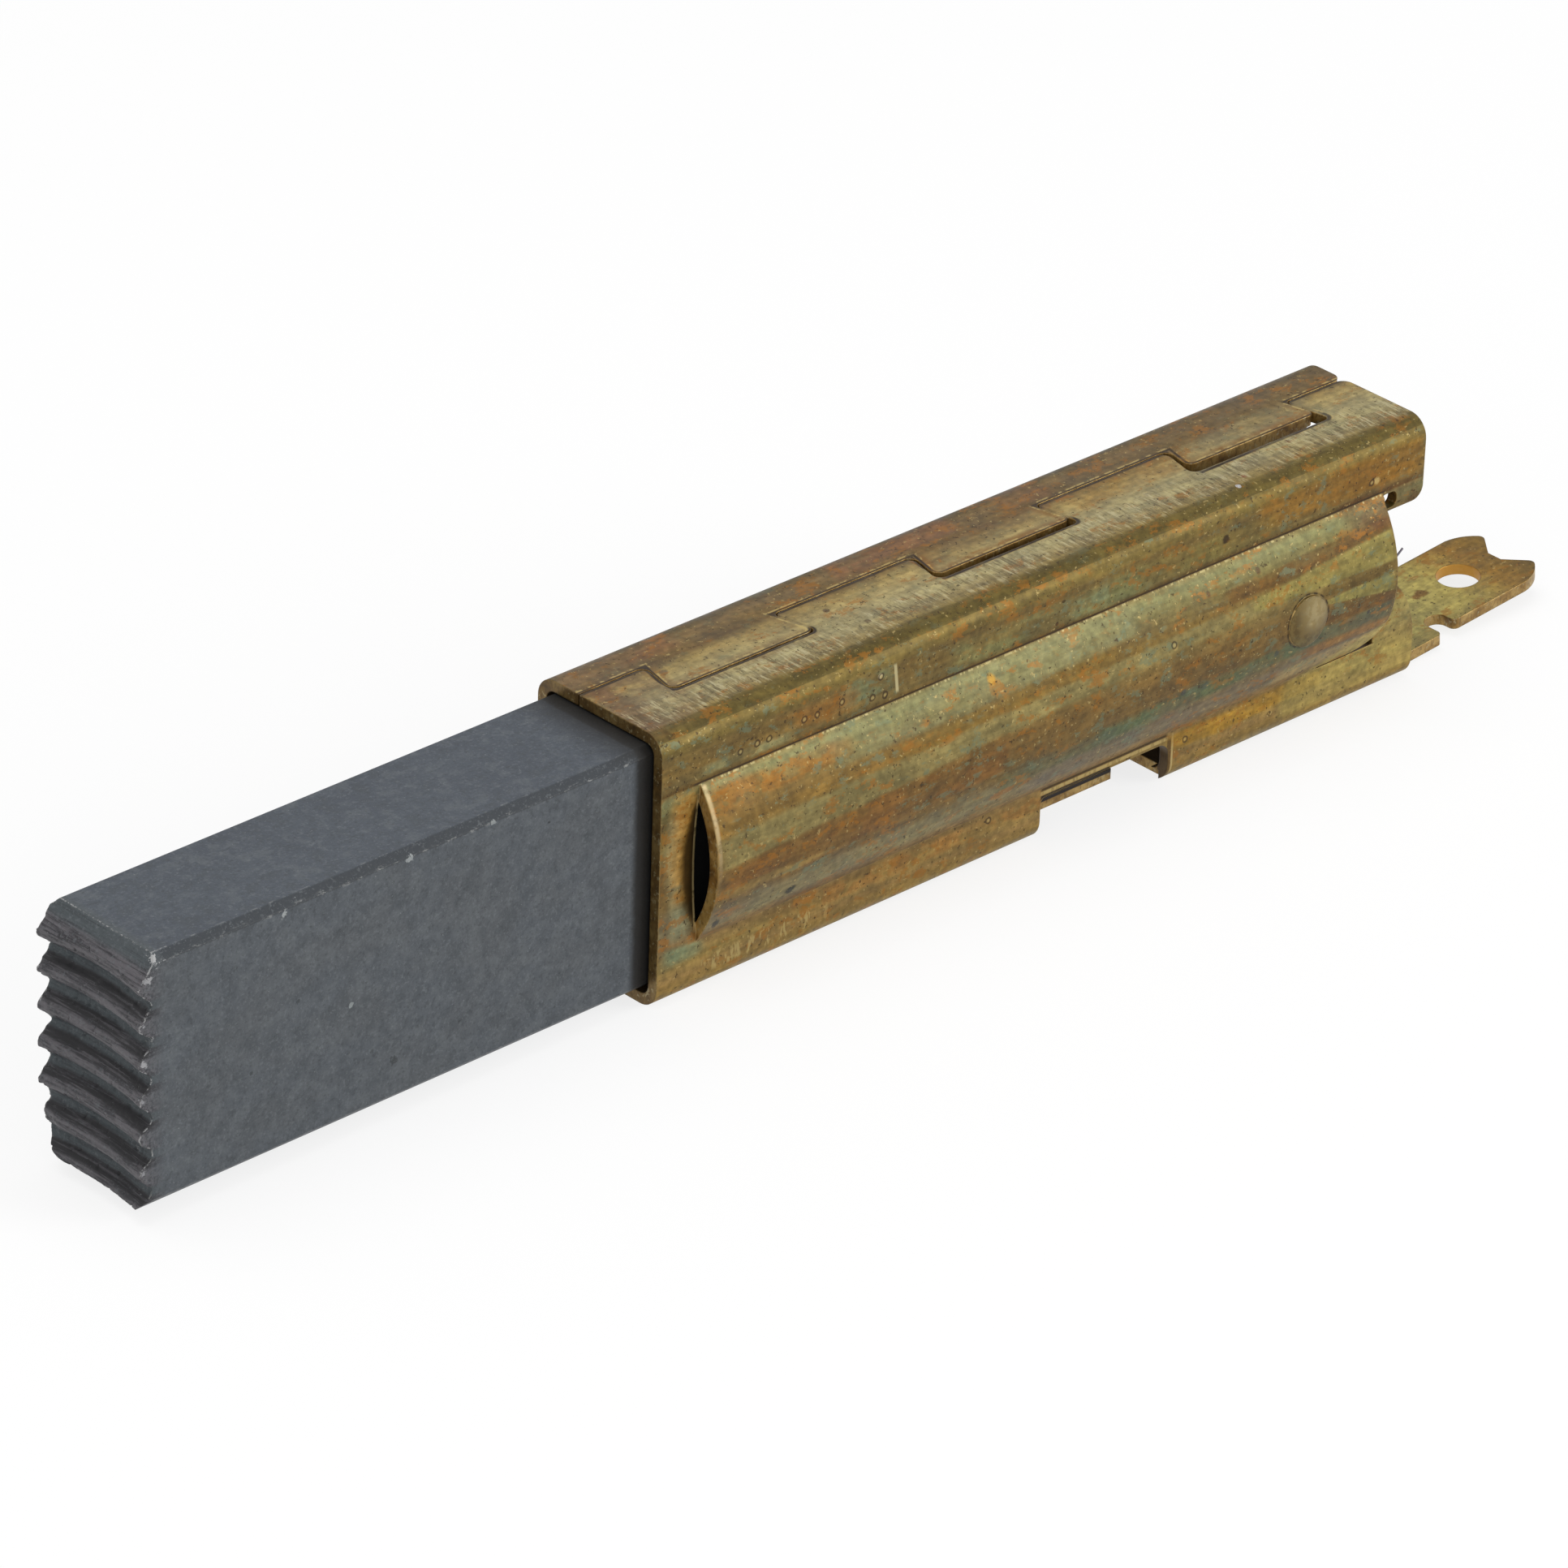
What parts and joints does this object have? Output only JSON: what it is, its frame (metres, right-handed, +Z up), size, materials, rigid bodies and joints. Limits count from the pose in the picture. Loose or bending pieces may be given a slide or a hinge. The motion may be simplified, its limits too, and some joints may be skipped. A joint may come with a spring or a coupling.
{
  "type": "motor carbon brush in a sheet-metal cartridge",
  "caption": "Spring-loaded graphite brush sliding in a folded brass sleeve with a push-on terminal tab, as used in a small appliance motor.",
  "frame": {"origin": "middle of the sleeve's flat base face", "axes": "+X along the sleeve towards the terminal tab, +Y across the narrow way, +Z up to the seam"},
  "size_m": [0.0793, 0.0099, 0.0123],
  "materials": {
    "brass": "aged, heat-tinted rolled strip",
    "graphite": "matte carbon graphite",
    "copper_powder": "matte pressed powder",
    "copper_braid": "fine bare strands",
    "spring_steel": "drawn wire"
  },
  "bodies": {
    "holder": {"sleeve": "brass", "spring": "spring_steel"},
    "brush": {"carbon_block": "graphite", "tamping_plug": "copper_powder", "pigtail": "copper_braid"}
  },
  "joints": [
    {"name": "brush_slide", "type": "slide", "parent": "holder", "child": "brush", "axis": [1, 0, 0], "range_m": [0, 0.022], "stiffness_N_per_m": 150, "springref_m": -0.01, "deforming": ["spring", "pigtail"]}
  ]
}
